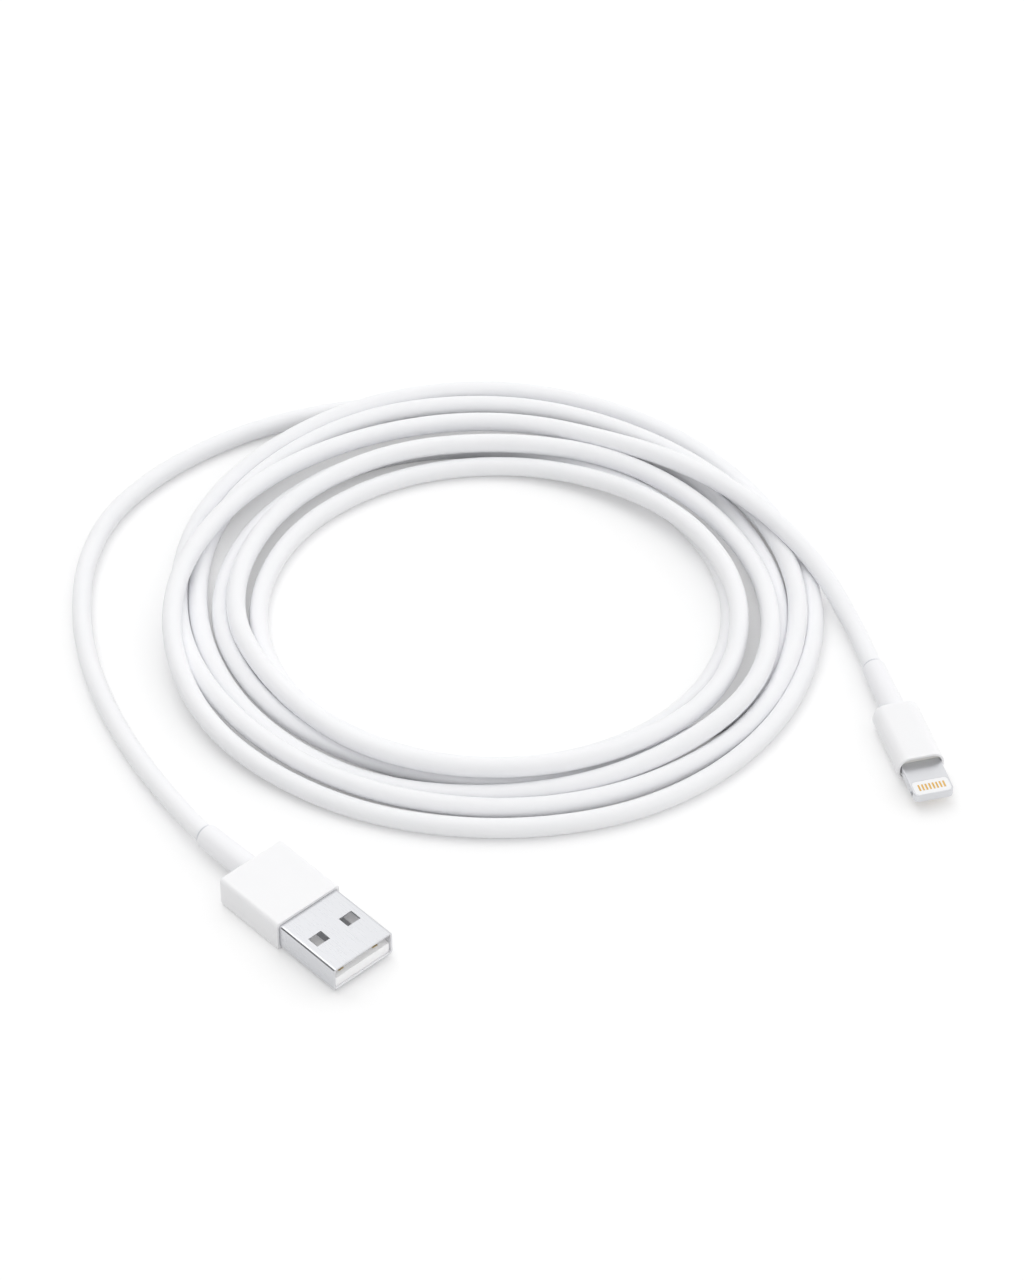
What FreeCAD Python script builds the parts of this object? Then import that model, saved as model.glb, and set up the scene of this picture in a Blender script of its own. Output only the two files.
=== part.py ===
"""A coiled charging cable: a wide host plug, a slim device plug, and the cord between them.

Millimetres. +Z points up from the table at z = 0, and the origin is the bottom centre of the box
around the two plugs. Each plug is built along its own +X, the way it is pushed in, with x = 0 at
the front face of its cover and z = 0 on its axis, and its Placement then lays it on the table.
"""
import FreeCAD, Part
import math
import os

import Sketcher
from FreeCAD import Placement, Rotation, Vector

doc = FreeCAD.newDocument("charging_cable")
sheet = doc.addObject("Spreadsheet::Sheet", "sizes")
pieces = []


class Size(float):
    """A number that remembers the sheet formula it comes from, so that a property can be bound."""

    def __new__(cls, value, formula):
        number = float.__new__(cls, value)
        number.formula = formula
        return number

    def __add__(self, other):
        return Size(float(self) + float(other), f"({self.formula} + {formula_of(other)})")

    def __radd__(self, other):
        return Size(float(other) + float(self), f"({formula_of(other)} + {self.formula})")

    def __sub__(self, other):
        return Size(float(self) - float(other), f"({self.formula} - {formula_of(other)})")

    def __rsub__(self, other):
        return Size(float(other) - float(self), f"({formula_of(other)} - {self.formula})")

    def __mul__(self, other):
        return Size(float(self) * float(other), f"({self.formula} * {formula_of(other)})")

    def __rmul__(self, other):
        return Size(float(other) * float(self), f"({formula_of(other)} * {self.formula})")

    def __truediv__(self, other):
        return Size(float(self) / float(other), f"({self.formula} / {formula_of(other)})")

    def __neg__(self):
        return Size(-float(self), f"(0 - {self.formula})")


def formula_of(value):
    """The formula behind a size, or the number itself."""
    return value.formula if isinstance(value, Size) else repr(float(value))


def size(name, value):
    """Put one driving size on the next row of the sheet, and return it."""
    size.row = getattr(size, "row", 0) + 1
    sheet.set(f"A{size.row}", name)
    sheet.set(f"B{size.row}", str(value))
    sheet.setAlias(f"B{size.row}", name)
    return Size(value, f"sizes.{name}")


# ---------------------------------------------------------------- driving sizes
# Cord, and the play between pieces that are fitted together at the factory.
cord_diameter = size("cord_diameter", 3.3)
fit_play = size("fit_play", 0.02)
wire_diameter = size("wire_diameter", 0.7)
wire_lead = size("wire_lead", 0.45)
jacket_step = size("jacket_step", 0.3)
braid_thickness = size("braid_thickness", 0.15)
crimp_wall = size("crimp_wall", 0.2)
can_split = size("can_split", 0.04)

# Where the two plugs lie on the table: the front face of each cover, and the way it points.
host_place_x = size("host_place_x", -42.1)
host_place_y = size("host_place_y", -22.4)
host_turn = size("host_turn", -46.9)
device_place_x = size("device_place_x", 56.0)
device_place_y = size("device_place_y", 11.7)
device_turn = size("device_turn", -75.4)

# Host plug: the steel shell of a standard type A plug.
host_shell_width = size("host_shell_width", 12.0)
host_shell_height = size("host_shell_height", 4.5)
host_shell_wall = size("host_shell_wall", 0.3)
host_shell_corner = size("host_shell_corner", 0.5)
host_shell_exposed = size("host_shell_exposed", 12.9)
host_shell_tail = size("host_shell_tail", 6.0)
host_shell_overlap = size("host_shell_overlap", 2.0)
host_shell_seam = size("host_shell_seam", 0.06)
host_window_length = size("host_window_length", 2.2)
host_window_width = size("host_window_width", 2.6)
host_window_spread = size("host_window_spread", 6.3)
host_window_setback = size("host_window_setback", 6.7)

# Host plug: the insulating tongue and its four contacts.
host_tongue_gap = size("host_tongue_gap", 0.1)
host_tongue_thickness = size("host_tongue_thickness", 1.85)
host_tongue_setback = size("host_tongue_setback", 0.35)
host_tongue_block = size("host_tongue_block", 2.5)
host_tongue_shelf = size("host_tongue_shelf", 4.0)
host_tongue_shelf_width = size("host_tongue_shelf_width", 9.0)
host_shelf_margin = size("host_shelf_margin", 1.0)
host_contact_width = size("host_contact_width", 1.0)
host_contact_thickness = size("host_contact_thickness", 0.25)
host_contact_proud = size("host_contact_proud", 0.05)
host_contact_setback = size("host_contact_setback", 1.2)
host_data_contact_setback = size("host_data_contact_setback", 2.2)
host_data_contact_spread = size("host_data_contact_spread", 2.0)
host_power_contact_spread = size("host_power_contact_spread", 7.0)

# Host plug: shield can behind the tongue, cover and sleeve.
host_can_wall = size("host_can_wall", 0.2)
host_can_length = size("host_can_length", 6.2)
host_can_corner = size("host_can_corner", 0.5)
host_can_gap = size("host_can_gap", 0.1)
host_wire_reach = size("host_wire_reach", 0.4)
host_power_wire_bend = size("host_power_wire_bend", 0.7)
host_data_wire_bend = size("host_data_wire_bend", 0.9)
host_power_wire_landing = size("host_power_wire_landing", 2.0)
host_data_wire_landing = size("host_data_wire_landing", 1.8)
host_solder_length = size("host_solder_length", 1.1)
host_solder_height = size("host_solder_height", 0.6)
host_grip_length = size("host_grip_length", 1.5)
host_cover_width = size("host_cover_width", 13.0)
host_cover_height = size("host_cover_height", 5.7)
host_cover_length = size("host_cover_length", 13.9)
host_cover_corner = size("host_cover_corner", 0.75)
host_cover_edge = size("host_cover_edge", 0.45)
host_cover_lip = size("host_cover_lip", 0.12)
host_cover_back = size("host_cover_back", 1.0)
host_cover_play = size("host_cover_play", 0.04)
host_sleeve_length = size("host_sleeve_length", 10.9)
host_sleeve_root = size("host_sleeve_root", 4.5)
host_sleeve_neck = size("host_sleeve_neck", 4.4)
host_sleeve_end = size("host_sleeve_end", 4.1)

# Device plug: metal tab with two contact faces.
tab_width = size("tab_width", 6.7)
tab_thickness = size("tab_thickness", 1.5)
tab_exposed = size("tab_exposed", 7.0)
tab_corner = size("tab_corner", 0.95)
tab_edge = size("tab_edge", 0.15)
tab_notch_setback = size("tab_notch_setback", 1.9)
tab_notch_radius = size("tab_notch_radius", 0.65)
tab_notch_depth = size("tab_notch_depth", 0.35)
tab_notch_height = size("tab_notch_height", 0.9)
tab_root_width = size("tab_root_width", 5.6)
tab_root_length = size("tab_root_length", 3.4)
insert_width = size("insert_width", 6.1)
insert_length = size("insert_length", 3.0)
insert_corner = size("insert_corner", 0.7)
insert_setback = size("insert_setback", 0.25)
pad_contact_width = size("pad_contact_width", 0.3)
pad_contact_length = size("pad_contact_length", 1.4)
pad_contact_thickness = size("pad_contact_thickness", 0.12)
pad_contact_pitch = size("pad_contact_pitch", 0.6)
pad_contact_proud = size("pad_contact_proud", 0.01)

# Device plug: circuit board and its parts.
board_width = size("board_width", 4.6)
board_thickness = size("board_thickness", 0.6)
board_length = size("board_length", 14.0)
board_setback = size("board_setback", 0.8)
chip_height = size("chip_height", 0.5)
controller_length = size("controller_length", 2.2)
controller_width = size("controller_width", 1.8)
power_chip_length = size("power_chip_length", 1.6)
power_chip_width = size("power_chip_width", 1.2)
capacitor_length = size("capacitor_length", 0.6)
capacitor_width = size("capacitor_width", 0.35)
capacitor_pitch = size("capacitor_pitch", 0.55)
capacitor_spread = size("capacitor_spread", 3.5)
chip_setback = size("chip_setback", 1.2)
device_wire_reach = size("device_wire_reach", 0.35)
device_wire_bend = size("device_wire_bend", 0.6)
device_wire_landing = size("device_wire_landing", 0.55)
device_wire_spread = size("device_wire_spread", 2.3)
device_solder_length = size("device_solder_length", 0.7)
device_solder_height = size("device_solder_height", 0.5)

# Device plug: shield can, cover and sleeve.
device_can_width = size("device_can_width", 6.1)
device_can_height = size("device_can_height", 3.3)
device_can_corner = size("device_can_corner", 1.0)
device_can_wall = size("device_can_wall", 0.15)
device_can_length = size("device_can_length", 8.0)
device_grip_length = size("device_grip_length", 1.3)
device_collar_thickness = size("device_collar_thickness", 1.2)
device_cover_width = size("device_cover_width", 7.9)
device_cover_height = size("device_cover_height", 4.9)
device_cover_length = size("device_cover_length", 13.2)
device_cover_corner = size("device_cover_corner", 2.1)
device_cover_wall = size("device_cover_wall", 0.4)
device_cover_back = size("device_cover_back", 0.9)
device_cover_edge = size("device_cover_edge", 0.3)
device_cover_lip = size("device_cover_lip", 0.12)
device_mouth_depth = size("device_mouth_depth", 0.7)
device_sleeve_length = size("device_sleeve_length", 11.3)
device_sleeve_root = size("device_sleeve_root", 4.2)
device_sleeve_neck = size("device_sleeve_neck", 4.0)
device_sleeve_end = size("device_sleeve_end", 3.95)

# Sleeves: flange that anchors them in the cover, and the rounded, belled end.
flange_thickness = size("flange_thickness", 0.8)
flange_overhang = size("flange_overhang", 0.9)
host_flange_height = size("host_flange_height", 4.4)
device_flange_height = size("device_flange_height", 3.1)
sleeve_rounding = size("sleeve_rounding", 0.2)
sleeve_bell = size("sleeve_bell", 0.06)
sleeve_bell_length = size("sleeve_bell_length", 1.5)
cord_entry = size("cord_entry", 5.7)
host_lead_out = size("host_lead_out", 2.8)
device_lead_out = size("device_lead_out", 2.4)

# Coil: the loose ring of turns, with the middle of its hole off the middle of its rim.
coil_centre_x = size("coil_centre_x", -13.7)
coil_centre_y = size("coil_centre_y", 52.4)
coil_outer_radius = size("coil_outer_radius", 57.0)
coil_inner_radius = size("coil_inner_radius", 36.6)
coil_hole_shift_x = size("coil_hole_shift_x", 0.3)
coil_hole_shift_y = size("coil_hole_shift_y", -2.9)
coil_height = size("coil_height", 8.2)
coil_top_rounding = size("coil_top_rounding", 3.0)
coil_base_rounding = size("coil_base_rounding", 1.2)

HOST = (host_place_x, host_place_y, host_cover_height / 2, host_turn)
DEVICE = (device_place_x, device_place_y, device_cover_height / 2, device_turn)
COIL = (coil_centre_x, coil_centre_y, Size(0, "0"), Size(0, "0"))
ALONG_X = Rotation(Vector(0, 1, 0), 90)

# A cutting tool reaches this far past the piece it cuts; arcs take this share of each run they join.
PAST = 1.0
ARC_SHARE = 0.45
SAME_PLACE = 1e-4
VOLUME_SLACK = 0.01
ROUNDING_SHARE = 0.8
doc.recompute()


# ---------------------------------------------------------------- ways of working
def bind(thing, name, value):
    """Tie one property to the sheet, or set it where it is a plain number."""
    thing.setExpression(name, formula_of(value))


def place(thing, spot, label):
    """Name a finished piece and lay it where its plug or coil lies."""
    thing.Label = label
    x, y, z, turn = spot
    thing.Placement = Placement(Vector(x, y, z), Rotation(Vector(0, 0, 1), float(turn)))
    bind(thing, "Placement.Base.x", x)
    bind(thing, "Placement.Base.y", y)
    bind(thing, "Placement.Base.z", z)
    if float(turn):
        bind(thing, "Placement.Rotation.Angle", turn)
    pieces.append(thing)
    return thing


def block(name, back, length, width, low, height, side=0.0):
    """A box from x = back, centred on y = side, standing on z = low."""
    box = doc.addObject("Part::Box", name)
    bind(box, "Length", length)
    bind(box, "Width", width)
    bind(box, "Height", height)
    bind(box, "Placement.Base.x", back)
    bind(box, "Placement.Base.y", side - width / 2)
    bind(box, "Placement.Base.z", low)
    return box


def rod(name, back, length, diameter, end_diameter=None):
    """A round bar, or a tapered one, along +X from x = back."""
    tapered = end_diameter is not None
    bar = doc.addObject("Part::Cone" if tapered else "Part::Cylinder", name)
    if tapered:
        bind(bar, "Radius1", diameter / 2)
        bind(bar, "Radius2", end_diameter / 2)
    else:
        bind(bar, "Radius", diameter / 2)
    bind(bar, "Height", length)
    bar.Placement = Placement(Vector(back, 0, 0), ALONG_X)
    bind(bar, "Placement.Base.x", back)
    return bar


def fuse(name, *parts):
    whole = doc.addObject("Part::MultiFuse", name)
    whole.Shapes = list(parts)
    return whole


def cut(name, base, *tools):
    """Take every tool away from the base."""
    tool = tools[0] if len(tools) == 1 else fuse(f"{name}_tools", *tools)
    rest = doc.addObject("Part::Cut", name)
    rest.Base = base
    rest.Tool = tool
    return rest


def group(name, parts):
    """Like pieces that share one node."""
    whole = doc.addObject("Part::Compound", name)
    whole.Links = list(parts)
    return whole


def new_body(name):
    body = doc.addObject("PartDesign::Body", name)
    body.AllowCompound = True
    return body


def new_sketch(body, name, role, offset=0.0, along=0.0):
    """A sketch on one of the body's own planes, moved along the plane's normal and its first axis."""
    sketch = body.newObject("Sketcher::SketchObject", name)
    plane = [item for item in body.Origin.OriginFeatures if item.Role == role][0]
    sketch.AttachmentSupport = [(plane, "")]
    sketch.MapMode = "FlatFace"
    bind(sketch, "AttachmentOffset.Base.z", offset)
    bind(sketch, "AttachmentOffset.Base.x", along)
    return sketch


def name_last(sketch, name, value):
    """Name the sketch's newest constraint and tie it to the sheet."""
    sketch.renameConstraint(sketch.ConstraintCount - 1, name)
    bind(sketch, f"Constraints.{name}", value)


def draw_section(sketch, width, height, corner):
    """A rectangle with round corners about the sketch's origin: lines and arcs by turns."""
    half_w, half_h, r = float(width) / 2, float(height) / 2, float(corner)
    corners = [(half_w - r, r - half_h), (half_w - r, half_h - r),
               (r - half_w, half_h - r), (r - half_w, r - half_h)]
    for number, (x, y) in enumerate(corners):
        start = math.radians(90 * number - 90)
        last_x, last_y = corners[number - 1]
        out = Vector(r * math.cos(start), r * math.sin(start), 0)
        sketch.addGeometry(Part.LineSegment(Vector(last_x, last_y, 0) + out, Vector(x, y, 0) + out), False)
        circle = Part.Circle(Vector(x, y, 0), Vector(0, 0, 1), r)
        sketch.addGeometry(Part.ArcOfCircle(circle, start, start + math.pi / 2), False)
    for line in range(0, 8, 2):
        sketch.addConstraint(Sketcher.Constraint("Tangent", line, 2, line + 1, 1))
        sketch.addConstraint(Sketcher.Constraint("Tangent", line + 1, 2, (line + 2) % 8, 1))
        level = "Horizontal" if line in (0, 4) else "Vertical"
        sketch.addConstraint(Sketcher.Constraint(level, line))
    for arc in (3, 5, 7):
        sketch.addConstraint(Sketcher.Constraint("Equal", 1, arc))
    sketch.addConstraint(Sketcher.Constraint("Symmetric", 0, 1, 4, 1, -1, 1))
    sketch.addConstraint(Sketcher.Constraint("Radius", 1, r))
    name_last(sketch, "corner", corner)
    sketch.addConstraint(Sketcher.Constraint("DistanceX", 6, 1, 2, 1, 2 * half_w))
    name_last(sketch, "width", width)
    sketch.addConstraint(Sketcher.Constraint("DistanceY", 0, 1, 4, 1, 2 * half_h))
    name_last(sketch, "height", height)


def draw_circle(sketch, diameter):
    """A circle about the sketch's origin."""
    sketch.addGeometry(Part.Circle(Vector(0, 0, 0), Vector(0, 0, 1), float(diameter) / 2), False)
    sketch.addConstraint(Sketcher.Constraint("Coincident", 0, 3, -1, 1))
    sketch.addConstraint(Sketcher.Constraint("Diameter", 0, float(diameter)))
    name_last(sketch, "diameter", diameter)


def pad(body, sketch, length):
    feature = body.newObject("PartDesign::Pad", f"{sketch.Name}_pad")
    feature.Profile = sketch
    bind(feature, "Length", length)
    doc.recompute()
    return feature


def pocket(body, sketch, length, forward=True):
    """Cut along the sketch's normal (forward) or against it, and make sure that something went."""
    before = body.Shape.Volume
    feature = body.newObject("PartDesign::Pocket", f"{sketch.Name}_pocket")
    feature.Profile = sketch
    feature.Reversed = forward
    bind(feature, "Length", length)
    doc.recompute()
    if body.Shape.Volume >= before:
        raise RuntimeError(f"{sketch.Name} cuts nothing")
    return feature


def dress(body, kind, radius, chosen):
    """Fillet or chamfer the edges of the body's last feature that the test chooses."""
    base = body.Tip
    names = [f"Edge{n + 1}" for n, edge in enumerate(base.Shape.Edges) if chosen(edge)]
    if not names:
        raise RuntimeError(f"{body.Name} has no edge to dress")
    feature = body.newObject(f"PartDesign::{kind}", f"{base.Name}_{kind.lower()}")
    feature.Base = (base, names)
    bind(feature, "Radius" if kind == "Fillet" else "Size", radius)
    doc.recompute()
    return feature


def lies_at(edge, axis, value):
    """True for an edge that lies wholly in the plane where the axis has this value."""
    box = edge.BoundBox
    low, high = {"x": (box.XMin, box.XMax), "z": (box.ZMin, box.ZMax)}[axis]
    return max(abs(low - float(value)), abs(high - float(value))) < SAME_PLACE


def section_bar(body, name, back, length, width, height, corner):
    """A bar of round-cornered section along +X from x = back."""
    sketch = new_sketch(body, name, "YZ_Plane", back)
    draw_section(sketch, width, height, corner)
    return pad(body, sketch, length)


def section_hole(body, name, back, length, width, height, corner):
    """A hole of round-cornered section along +X from x = back."""
    sketch = new_sketch(body, name, "YZ_Plane", back)
    draw_section(sketch, width, height, corner)
    return pocket(body, sketch, length)


def slab(name, middle, length, width, corner, low, height):
    """A flat plate with round corners in plan, centred on x = middle and standing on z = low."""
    body = new_body(name)
    sketch = new_sketch(body, f"{name}_plan", "XY_Plane", low, middle)
    draw_section(sketch, length, width, corner)
    pad(body, sketch, height)
    return body


def round_hole(body, name, back, length, diameter):
    """A round hole along +X from x = back."""
    sketch = new_sketch(body, name, "YZ_Plane", back)
    draw_circle(sketch, diameter)
    return pocket(body, sketch, length)


def on_table(spot, x, y=0.0, z=0.0):
    """A point of a plug's own frame, on the table."""
    centre = Vector(*[float(value) for value in spot[:3]])
    return Placement(centre, Rotation(Vector(0, 0, 1), float(spot[3]))).multVec(Vector(x, y, z))


def lay_tube(points, diameter, label):
    """A round tube along straight runs joined by arcs, each as large as its two runs allow."""
    edges = []
    radii = []
    start = points[0]
    for before, point, after in zip(points, points[1:], points[2:]):
        back = (before - point).normalize()
        ahead = (after - point).normalize()
        half_turn = (math.pi - back.getAngle(ahead)) / 2
        tangent = ARC_SHARE * min((before - point).Length, (after - point).Length)
        radius = tangent / math.tan(half_turn)
        radii.append(radius)
        enter = point + back * tangent
        leave = point + ahead * tangent
        inward = (back + ahead).normalize()
        middle = point + inward * (radius / math.cos(half_turn) - radius)
        edges.append(Part.LineSegment(start, enter).toShape())
        edges.append(Part.Arc(enter, middle, leave).toShape())
        start = leave
    edges.append(Part.LineSegment(start, points[-1]).toShape())
    path = Part.Wire(edges)
    length = path.Length
    heading = (points[1] - points[0]).normalize()
    circle = Part.Wire([Part.Circle(points[0], heading, diameter / 2).toShape()])
    solid = path.makePipeShell([circle], True, True)
    section = math.pi * diameter ** 2 / 4
    if not solid.isValid() or abs(solid.Volume / (section * length) - 1) > VOLUME_SLACK:
        raise RuntimeError(f"{label} is not a sound tube")
    print(f"{label}: {length:.1f} mm long, arc radii {min(radii):.1f} to {max(radii):.1f} mm")
    return solid


def make_wires(names, starts, middles, ends, spot):
    """Insulated wires, each a short tube that leaves the cord's cut end and fans out to its joint."""
    for name, start, middle, end in zip(names, starts, middles, ends):
        points = [Vector(*start), *[Vector(*point) for point in middle], Vector(*end)]
        wire = doc.addObject("Part::Feature", name)
        wire.Shape = lay_tube(points, float(wire_diameter), name)
        place(wire, spot, name)


def make_sleeve(name, spot, cover_length, cover_back, root, neck_diameter, end, length, flange_height):
    """A moulded sleeve: a tapered tube behind the cover, a neck through its back wall, and a flange."""
    back = -(cover_length + length)
    collar = -cover_length + cover_back
    bore = cord_diameter + 2 * fit_play
    cone = rod(f"{name}_cone", back, length, end, root)
    neck = rod(f"{name}_neck", -cover_length, cover_back + flange_thickness, neck_diameter)
    flange = block(f"{name}_flange", collar + fit_play, flange_thickness - fit_play,
                   root + 2 * flange_overhang, -flange_height / 2, flange_height)
    hole = rod(f"{name}_bore", back - PAST, length + cover_back + flange_thickness + 2 * PAST, bore)
    bell = rod(f"{name}_bell", back, sleeve_bell_length, bore + 2 * sleeve_bell, bore)
    solid = cut(f"{name}_solid", fuse(f"{name}_outer", cone, neck, flange), hole, bell)
    doc.recompute()
    rounded = doc.addObject("Part::Fillet", name)
    rounded.Base = solid
    edges = [n + 1 for n, edge in enumerate(solid.Shape.Edges)
             if lies_at(edge, "x", back) and edge.BoundBox.YLength > bore + 2 * sleeve_bell + SAME_PLACE]
    end_wall = (end - bore) / 2 - sleeve_bell
    radius = min(float(sleeve_rounding), ROUNDING_SHARE * float(end_wall))
    rounded.Edges = [(n, radius, radius) for n in edges]
    place(rounded, spot, name)


def make_cord_end(plug, spot, cord_back, jacket_end, grip_back, grip_front):
    """The cord's own end in a plug: jacket, braid folded back over it, and the ring that grips both."""
    braid_bore = cord_diameter + 2 * fit_play
    braid_outer = braid_bore + 2 * braid_thickness
    ring_bore = braid_outer + 2 * fit_play
    length = grip_front - grip_back
    bar = rod(f"{plug}_jacket", cord_back, jacket_end - cord_back, cord_diameter)
    jacket = group(f"{plug}_cord_tail", [bar])
    place(jacket, spot, f"{plug}_cord_tail")
    for word, inner, outer in (("braid", braid_bore, braid_outer), ("crimp_ring", ring_bore, ring_outer())):
        tube = cut(f"{plug}_{word}", rod(f"{plug}_{word}_outside", grip_back, length, outer),
                   rod(f"{plug}_{word}_inside", grip_back - PAST, length + 2 * PAST, inner))
        place(tube, spot, f"{plug}_{word}")


def ring_outer():
    """Outer diameter of a crimp ring: cord, braid and wall, each with its play."""
    return cord_diameter + 4 * fit_play + 2 * braid_thickness + 2 * crimp_wall


def make_can(plug, spot, back, length, width, height, corner, wall):
    """Drawn steel can in two halves, open in front, with a hole for the cord in its back wall."""
    body = new_body(f"{plug}_can_body")
    section_bar(body, f"{plug}_can_outside", back, length, width, height, corner)
    section_hole(body, f"{plug}_can_inside", back + wall, length - wall,
                 width - 2 * wall, height - 2 * wall, corner - wall)
    round_hole(body, f"{plug}_can_hole", back - PAST, wall + 2 * PAST, cord_diameter + 2 * fit_play)
    for half, low in (("upper", -height), ("lower", -can_split / 2)):
        away = block(f"{plug}_can_{half}_away", back - PAST, length + 2 * PAST, 2 * width, low,
                     height + can_split / 2)
        place(cut(f"{plug}_shield_{half}", body, away), spot, f"{plug}_shield_{half}")


def make_solder(plug, spot, joints, length, height):
    """Solder joints: a low dome in front of each wire's end, above or below the surface it sits on."""
    domes = []
    for number, (x, y, z, sign) in enumerate(joints):
        dome = doc.addObject("Part::Ellipsoid", f"{plug}_dome_{number}")
        bind(dome, "Radius1", height)
        bind(dome, "Radius2", length / 2)
        bind(dome, "Radius3", wire_diameter / 2)
        dome.Angle1 = 0 if sign > 0 else -90
        dome.Angle2 = 90 if sign > 0 else 0
        bind(dome, "Placement.Base.x", x)
        bind(dome, "Placement.Base.y", y)
        bind(dome, "Placement.Base.z", z)
        domes.append(dome)
    place(group(f"{plug}_solder", domes), spot, f"{plug}_solder")


# ---------------------------------------------------------------- host plug
def make_host_shell():
    """Folded steel shell with a butt seam underneath and two latch windows in each broad face."""
    body = new_body("host_shell_body")
    length = host_shell_exposed + host_shell_tail
    section_bar(body, "host_shell_outside", -host_shell_tail, length,
                host_shell_width, host_shell_height, host_shell_corner)
    section_hole(body, "host_shell_inside", -host_shell_tail, length,
                 host_shell_width - 2 * host_shell_wall, host_shell_height - 2 * host_shell_wall,
                 host_shell_corner - host_shell_wall)
    dress(body, "Fillet", host_shell_wall / 4, lambda edge: lies_at(edge, "x", host_shell_exposed))
    middle = host_shell_exposed - host_window_setback
    windows = [block(f"host_window_{side}", middle - host_window_length / 2, host_window_length,
                     host_window_width, -host_shell_height, 2 * host_shell_height,
                     host_window_spread / 2 * sign)
               for side, sign in (("left", 1), ("right", -1))]
    seam = block("host_seam", -host_shell_tail - PAST, length + 2 * PAST, host_shell_seam,
                 -host_shell_height, host_shell_height)
    place(cut("host_shell_cut", body, *windows, seam), HOST, "host_shell")


def make_host_tongue():
    """Moulded insulator: a tongue in the lower half of the mouth, a block across the shell, a shelf."""
    inside_width = host_shell_width - 2 * host_shell_wall
    inside_height = host_shell_height - 2 * host_shell_wall
    floor = -inside_height / 2 + fit_play
    front = host_shell_exposed - host_tongue_setback
    block_back = -host_shell_tail + host_shell_overlap
    tongue = block("host_tongue_front", block_back, front - block_back,
                   inside_width - 2 * host_tongue_gap, floor, host_tongue_thickness)
    across = block("host_tongue_across", block_back, host_tongue_block,
                   inside_width - 2 * host_tongue_gap, floor, inside_height - 2 * fit_play)
    shelf = block("host_tongue_shelf_part", block_back - host_tongue_shelf, host_tongue_shelf,
                  host_tongue_shelf_width, floor + host_can_wall * 2,
                  host_tongue_thickness - host_can_wall * 2)
    top = floor + host_tongue_thickness
    low = top + host_contact_proud - host_contact_thickness
    slots = []
    contacts = []
    for spread, setback, word in ((host_power_contact_spread, host_contact_setback, "power"),
                                  (host_data_contact_spread, host_data_contact_setback, "data")):
        for side, sign in (("left", 0.5), ("right", -0.5)):
            back = block_back - host_tongue_shelf + host_shelf_margin
            length = host_shell_exposed - setback - back
            contacts.append(block(f"host_contact_{word}_{side}", back, length, host_contact_width,
                                  low, host_contact_thickness, spread * sign))
            slots.append(block(f"host_slot_{word}_{side}", back - host_shelf_margin - PAST,
                               length + host_shelf_margin + PAST + fit_play,
                               host_contact_width + 2 * fit_play, low - fit_play,
                               host_contact_thickness + 2 * fit_play, spread * sign))
    place(cut("host_tongue", fuse("host_tongue_whole", tongue, across, shelf), *slots), HOST, "host_tongue")
    place(group("host_contacts", contacts), HOST, "host_contacts")


def make_host_inside():
    """Everything behind the tongue: shield can, cord end, wires and their joints, inner moulding."""
    inside_width = host_shell_width - 2 * host_shell_wall
    inside_height = host_shell_height - 2 * host_shell_wall
    can_back = -host_shell_tail + host_shell_overlap - host_can_gap - host_can_length
    make_can("host", HOST, can_back, host_can_length, inside_width - 2 * fit_play,
             inside_height - 2 * fit_play, host_can_corner, host_can_wall)
    cord_back = -(host_cover_length + host_sleeve_length - cord_entry)
    jacket_end = can_back + host_can_wall + jacket_step
    make_cord_end("host", HOST, cord_back, jacket_end, can_back - fit_play - host_grip_length,
                  can_back - fit_play)
    joint_z = -inside_height / 2 + fit_play + host_tongue_thickness + host_contact_proud
    wire_z = joint_z + wire_diameter / 2 + fit_play
    wire_end = -host_shell_tail + host_wire_reach
    starts = []
    middles = []
    ends = []
    for spread, start_z, bend, landing in (
            (host_power_contact_spread, wire_lead, host_power_wire_bend, host_power_wire_landing),
            (host_data_contact_spread, -wire_lead, host_data_wire_bend, host_data_wire_landing)):
        for sign in (1, -1):
            side = spread / 2 * sign
            starts.append((jacket_end, wire_lead * sign, start_z))
            middles.append([(jacket_end + bend, wire_lead * sign, start_z),
                            (-host_shell_tail - landing, side, wire_z)])
            ends.append((wire_end, side, wire_z))
    names = ("host_wire_power", "host_wire_ground", "host_wire_data_plus", "host_wire_data_minus")
    make_wires(names, starts, middles, ends, HOST)
    joints = [(end[0] + host_solder_length / 2 + fit_play, end[1], joint_z, 1) for end in ends]
    make_solder("host", HOST, joints, host_solder_length, host_solder_height)
    moulding = new_body("host_inner_mould")
    mould_back = -host_cover_length + host_cover_back + flange_thickness + fit_play
    mould_front = -host_shell_tail - fit_play
    section_bar(moulding, "host_mould_outside", mould_back, mould_front - mould_back,
                host_shell_width, host_shell_height, host_shell_corner)
    section_hole(moulding, "host_mould_can_seat", can_back - fit_play, mould_front - can_back + PAST,
                 inside_width, inside_height, host_can_corner + fit_play)
    round_hole(moulding, "host_mould_grip_seat", mould_back - PAST, can_back - mould_back + 2 * PAST,
               ring_outer() + 2 * fit_play)
    place(moulding, HOST, "host_inner_mould")


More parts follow.
